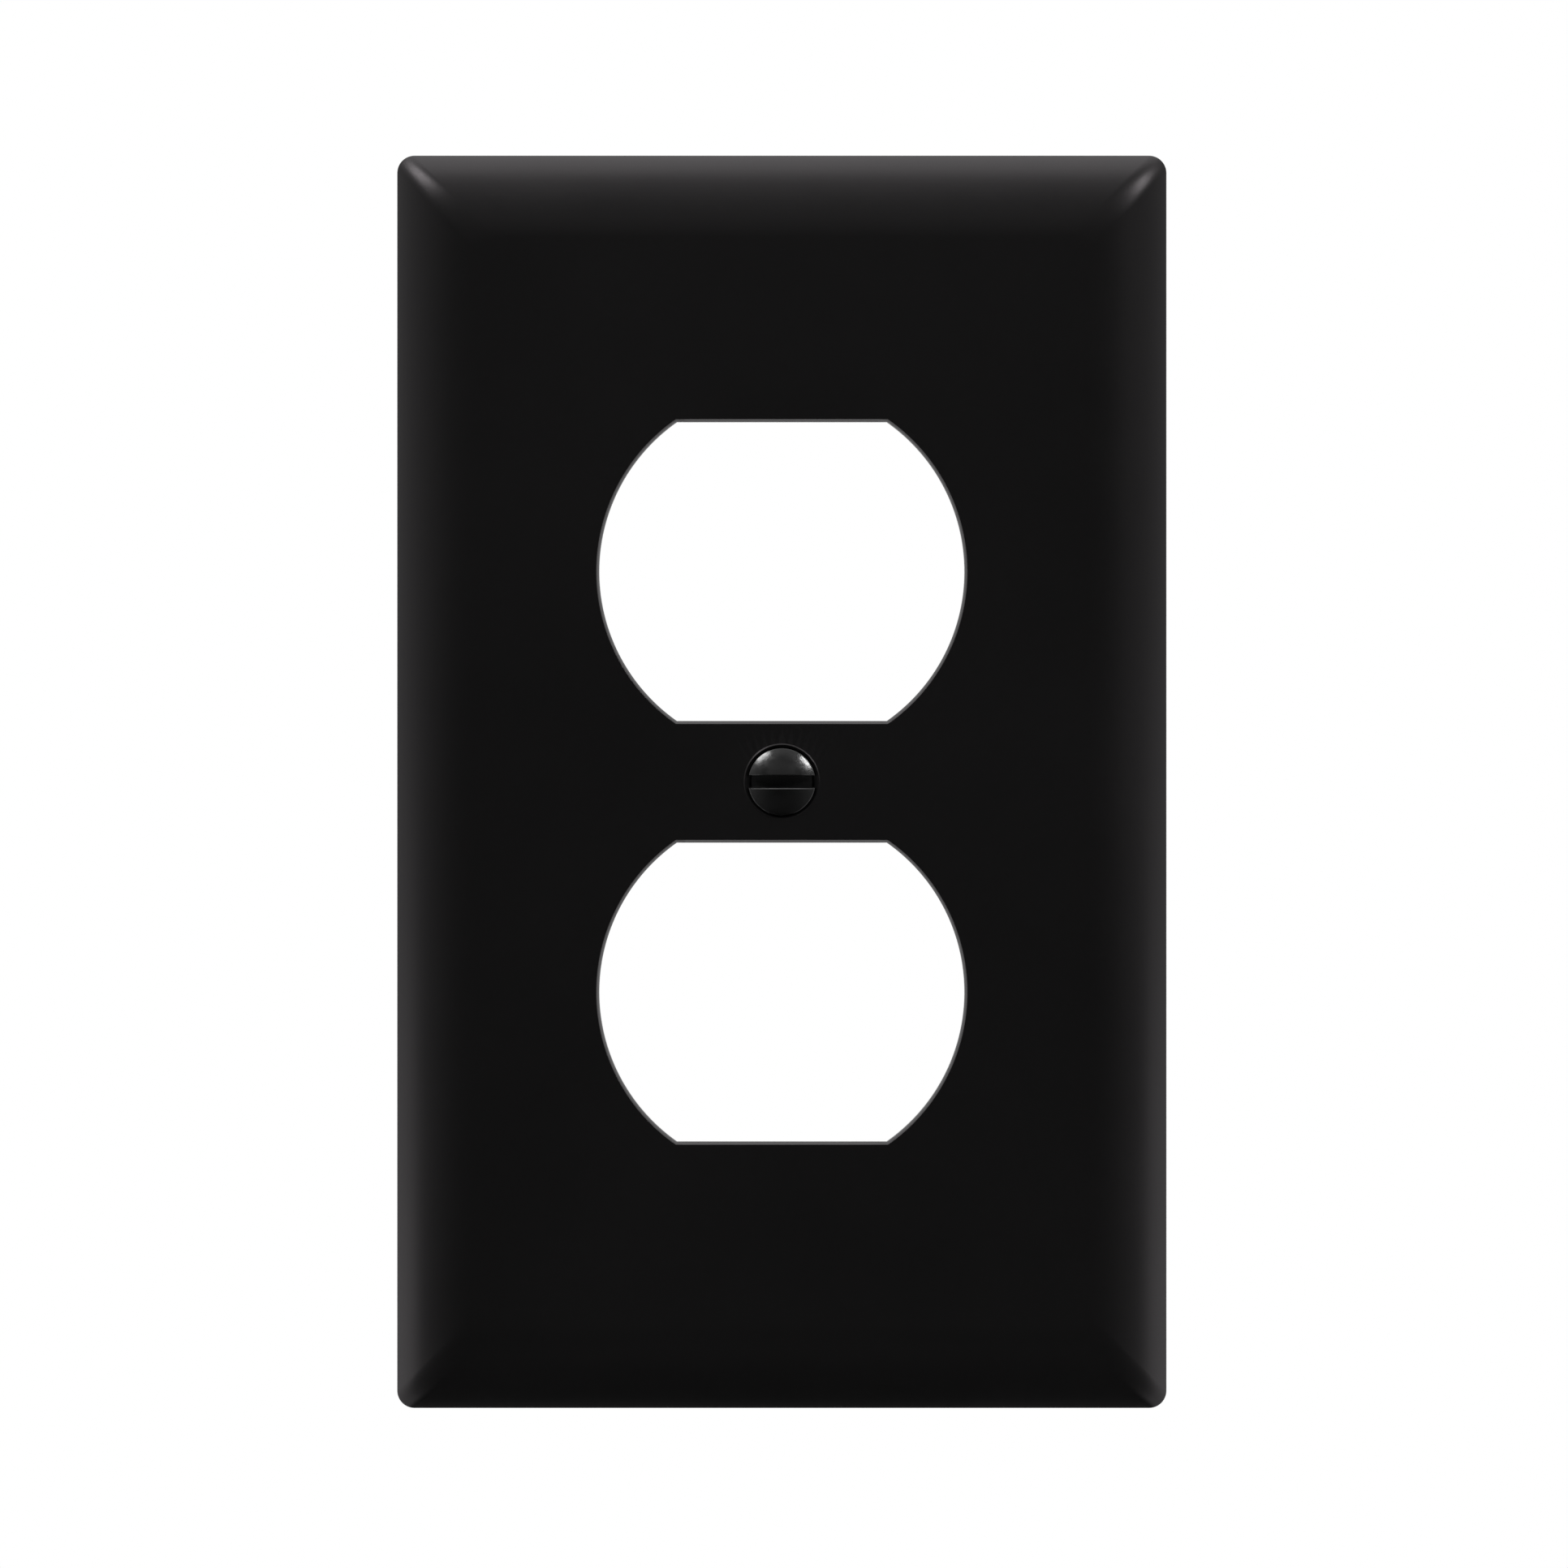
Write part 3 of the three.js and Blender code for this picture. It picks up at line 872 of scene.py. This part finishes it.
NOISE_LOW, NOISE_HIGH = 0.3, 0.7  # the range that most of a noise lies in
MIX_DARK, MIX_LIGHT, MIX_COLOUR = 6, 7, 2  # a mix node's two colour inputs and its colour output


class Finish(Nodes):
    """A material in the making."""

    def __init__(self, name):
        self.material = bpy.data.materials.new(name)
        self.material.use_nodes = True
        super().__init__(self.material.node_tree)
        self.shader = self.tree.nodes["Principled BSDF"]

    @cached_property
    def millimetres(self):
        """The point's place in millimetres."""
        coordinates = self.add("ShaderNodeTexCoord")
        scaled = self.add("ShaderNodeVectorMath", {"Scale": 1 / MM}, operation="SCALE")
        self.link(coordinates.outputs["Object"], scaled.inputs[0])
        return scaled.outputs[0]

    def set(self, name, value):
        """A value that is the same all over the surface."""
        self.shader.inputs[name].default_value = value

    def noise(self, scale, detail=2.0, roughness=0.5):
        """Noise with that many cells per millimetre."""
        settings = {"Scale": scale, "Detail": detail, "Roughness": roughness}
        node = self.add("ShaderNodeTexNoise", settings)
        self.link(self.millimetres, node.inputs["Vector"])
        return node.outputs["Fac"]

    def spread(self, noise, low, high):
        """Maps a noise's middle range onto two numbers."""
        return self.mapped(noise, NOISE_LOW, NOISE_HIGH, low, high)

    def colour(self, noise, dark, light):
        """A base colour between two others."""
        node = self.add("ShaderNodeMix", data_type="RGBA")
        node.inputs[MIX_DARK].default_value = (*dark, 1.0)
        node.inputs[MIX_LIGHT].default_value = (*light, 1.0)
        self.link(noise, node.inputs["Factor"])
        self.link(node.outputs[MIX_COLOUR], self.shader.inputs["Base Color"])

    def roughness(self, value):
        self.link(value, self.shader.inputs["Roughness"])

    def bump(self, height, depth):
        """A bump of that depth in millimetres for heights from 0 to 1."""
        node = self.add("ShaderNodeBump", {"Strength": 1.0, "Distance": depth * MM})
        self.link(height, node.inputs["Height"])
        self.link(node.outputs[0], self.shader.inputs["Normal"])


def grey(value):
    return (value, value, value)


def black_plastic():
    """Moulded black plastic: semi-gloss, with a faint orange peel and slight handling haze."""
    made = Finish("black_plastic")
    made.colour(made.noise(0.06, 3.0), grey(0.0045), grey(0.0055))
    haze = made.spread(made.noise(0.045, 4.0, 0.6), 0.0, 0.05)
    grain = made.spread(made.noise(4.5), -0.02, 0.02)
    made.roughness(made.math("ADD", made.math("ADD", haze, grain), 0.30))
    peel = made.math("MULTIPLY", made.noise(1.6), 0.6)
    fine = made.math("MULTIPLY", made.noise(7.0, 1.0), 0.4)
    made.bump(made.math("ADD", peel, fine), 0.0035)
    made.set("IOR", 1.5)
    made.set("Specular Tint", (1.0, 0.93, 0.965, 1.0))
    return made.material


def black_paint():
    """Gloss black paint on the screw's head, thin over the metal's own unevenness."""
    made = Finish("black_paint")
    made.colour(made.noise(1.2, 3.0), grey(0.0038), grey(0.0058))
    made.roughness(made.spread(made.noise(2.5, 3.0), 0.17, 0.25))
    made.bump(made.noise(3.0, 3.0), 0.008)
    made.set("IOR", 2.0)
    return made.material


def slot_paint():
    """Dull paint that has pooled in the screwdriver slot."""
    made = Finish("slot_paint")
    made.colour(made.noise(2.0, 3.0), grey(0.0085), grey(0.0115))
    made.roughness(made.spread(made.noise(5.0), 0.65, 0.85))
    made.bump(made.noise(5.0, 3.0), 0.012)
    made.set("IOR", 1.3)
    return made.material


def zinc_steel():
    """Bright zinc plating on the shank."""
    made = Finish("zinc_steel")
    made.colour(made.noise(1.5, 4.0), (0.42, 0.43, 0.44), (0.62, 0.62, 0.60))
    made.roughness(made.spread(made.noise(3.5, 3.0), 0.22, 0.40))
    made.bump(made.noise(6.0), 0.006)
    made.set("Metallic", 1.0)
    return made.material


# ---------------------------------------------------------------- put the pieces in place
plate = add_piece("wall_plate_fine", wall_plate_mesh(), black_plastic())
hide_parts("wall_plate")
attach(plate, "plate")

PAINTED, IN_SLOT, BARE = range(3)
BARE_START = 0.1  # bare metal reaches this far up the cone from its foot
SIDE_MARGIN = 0.01  # keeps the slot's own sides inside the slot


def screw_finish(centre):
    """Which finish a point of the screw has, from its place in metres."""
    x, y, z = centre / MM
    if -y < cone_bottom + BARE_START:
        return BARE
    in_slot = abs(z) < SLOT_WIDTH / 2 + SIDE_MARGIN
    below_edge = -y < crown_front(min(math.hypot(x, z), head_radius)) - SLOT_EDGE_DEPTH
    return IN_SLOT if in_slot and below_edge else PAINTED


screw = add_piece("plate_screw_fine", plate_screw_mesh(), black_paint(), slot_paint(), zinc_steel())
for face in screw.data.polygons:
    face.material_index = screw_finish(face.center)
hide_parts("plate_screw")
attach(screw, "screw")


# ---------------------------------------------------------------- floor, world and lights
FLOOR_DROP = 0.2  # from the plate's middle, in metres
FLOOR_LOW, FLOOR_HIGH = (-3.0, -3.0), (3.0, 1.5)


def add_floor():
    data = bpy.data.meshes.new("floor")
    corners = [
        (FLOOR_LOW[0], FLOOR_LOW[1]),
        (FLOOR_HIGH[0], FLOOR_LOW[1]),
        (FLOOR_HIGH[0], FLOOR_HIGH[1]),
        (FLOOR_LOW[0], FLOOR_HIGH[1]),
    ]
    data.from_pydata([(x, y, -FLOOR_DROP) for x, y in corners], [], [(0, 1, 2, 3)])
    floor = bpy.data.objects.new("floor", data)
    bpy.context.collection.objects.link(floor)
    paper = Finish("floor_paper")
    paper.set("Base Color", (*grey(0.8), 1.0))
    paper.set("Roughness", 0.8)
    data.materials.append(paper.material)
    floor.visible_glossy = False


# How bright the sky is. A direction's x, y and z run from -1 to 1.
SKY_ABOVE, SKY_LEVEL, SKY_BELOW = 0.72, 0.42, 0.0  # straight up, level and below the horizon
SKY_LOWEST = -0.8  # the z at which the sky has faded to SKY_BELOW
SKY_LEFT, SKY_RIGHT = 1.06, 0.86  # its shares at the two sides
SKY_TO_CAMERA = (-0.95, 0.2)  # the y over which it grows from nothing, behind the camera
SKY_GROWTH = 1.15  # to this share
BACKDROP = 1.0
BACKDROP_EDGE = (0.3, 0.6)  # the y over which the backdrop behind the plate starts


def add_world():
    """White paper all round for the camera. Other rays see a white backdrop straight behind the
    plate and, in front of it, light that fades from above and from the sides towards the camera."""
    world = bpy.data.worlds.new("studio")
    bpy.context.scene.world = world
    world.use_nodes = True
    studio = Nodes(world.node_tree)
    split = studio.add("ShaderNodeSeparateXYZ")
    studio.link(studio.add("ShaderNodeTexCoord").outputs["Generated"], split.inputs[0])
    x, y, z = split.outputs
    below = studio.mapped(z, SKY_LOWEST, 0.0, SKY_BELOW, SKY_LEVEL)
    above = studio.mapped(z, 0.0, 1.0, 0.0, SKY_ABOVE - SKY_LEVEL)
    sky = studio.math("ADD", below, above)
    sky = studio.math("MULTIPLY", sky, studio.mapped(y, *SKY_TO_CAMERA, 0.0, SKY_GROWTH))
    sky = studio.math("MULTIPLY", sky, studio.mapped(x, -1.0, 1.0, SKY_LEFT, SKY_RIGHT))
    backdrop = studio.mapped(y, *BACKDROP_EDGE, 0.0, BACKDROP, "SMOOTHSTEP")
    lit = studio.math("MAXIMUM", sky, backdrop)
    path = studio.add("ShaderNodeLightPath")
    seen = studio.math("MAXIMUM", path.outputs["Is Camera Ray"], lit)
    background = studio.tree.nodes["Background"]
    studio.link(seen, background.inputs["Strength"])
    background.inputs["Color"].default_value = (*grey(1.0), 1.0)


def add_softbox(name, around, off_axis, distance, size, radiance, reflected=True):
    """A light aimed at the plate. around is its angle from +X seen from the front, and off_axis its
    angle from the direction towards the camera, in degrees. Its size is first along the circle
    round the camera's axis, then across that circle."""
    phi, theta = math.radians(around), math.radians(off_axis)
    toward = Vector((
        math.sin(theta) * math.cos(phi),
        -math.cos(theta),
        math.sin(theta) * math.sin(phi),
    ))
    along = Vector((-math.sin(phi), 0.0, math.cos(phi)))
    data = bpy.data.lights.new(name, "AREA")
    data.shape = "RECTANGLE"
    data.size, data.size_y = size
    data.energy = radiance * math.pi * size[0] * size[1]
    light = bpy.data.objects.new(name, data)
    bpy.context.collection.objects.link(light)
    light.location = toward * distance
    light.rotation_euler = Matrix((along, toward.cross(along), toward)).transposed().to_euler()
    light.visible_camera = False
    light.visible_glossy = reflected


add_floor()
add_world()
add_softbox("overhead", 90, 96, 0.4, (0.6, 0.3), 0.9)
add_softbox("upper_left", 127, 63, 0.9, (0.34, 0.31), 6.9)
add_softbox("upper_right", 40, 57, 0.9, (0.30, 0.09), 18.0)
add_softbox("front_fill", 90, 20, 1.2, (1.1, 0.56), 0.11)
for name, around in (("low_left", 217), ("low_right", 323)):
    add_softbox(name, around, 88, 0.25, (0.30, 0.14), 0.8)
add_softbox("top_wash", 90, 78, 0.12, (0.25, 0.02), 5.0, reflected=False)
add_softbox("lower_wash", 270, 45, 0.12, (0.05, 0.02), 4.2, reflected=False)

bpy.context.scene.view_settings.view_transform = "Standard"
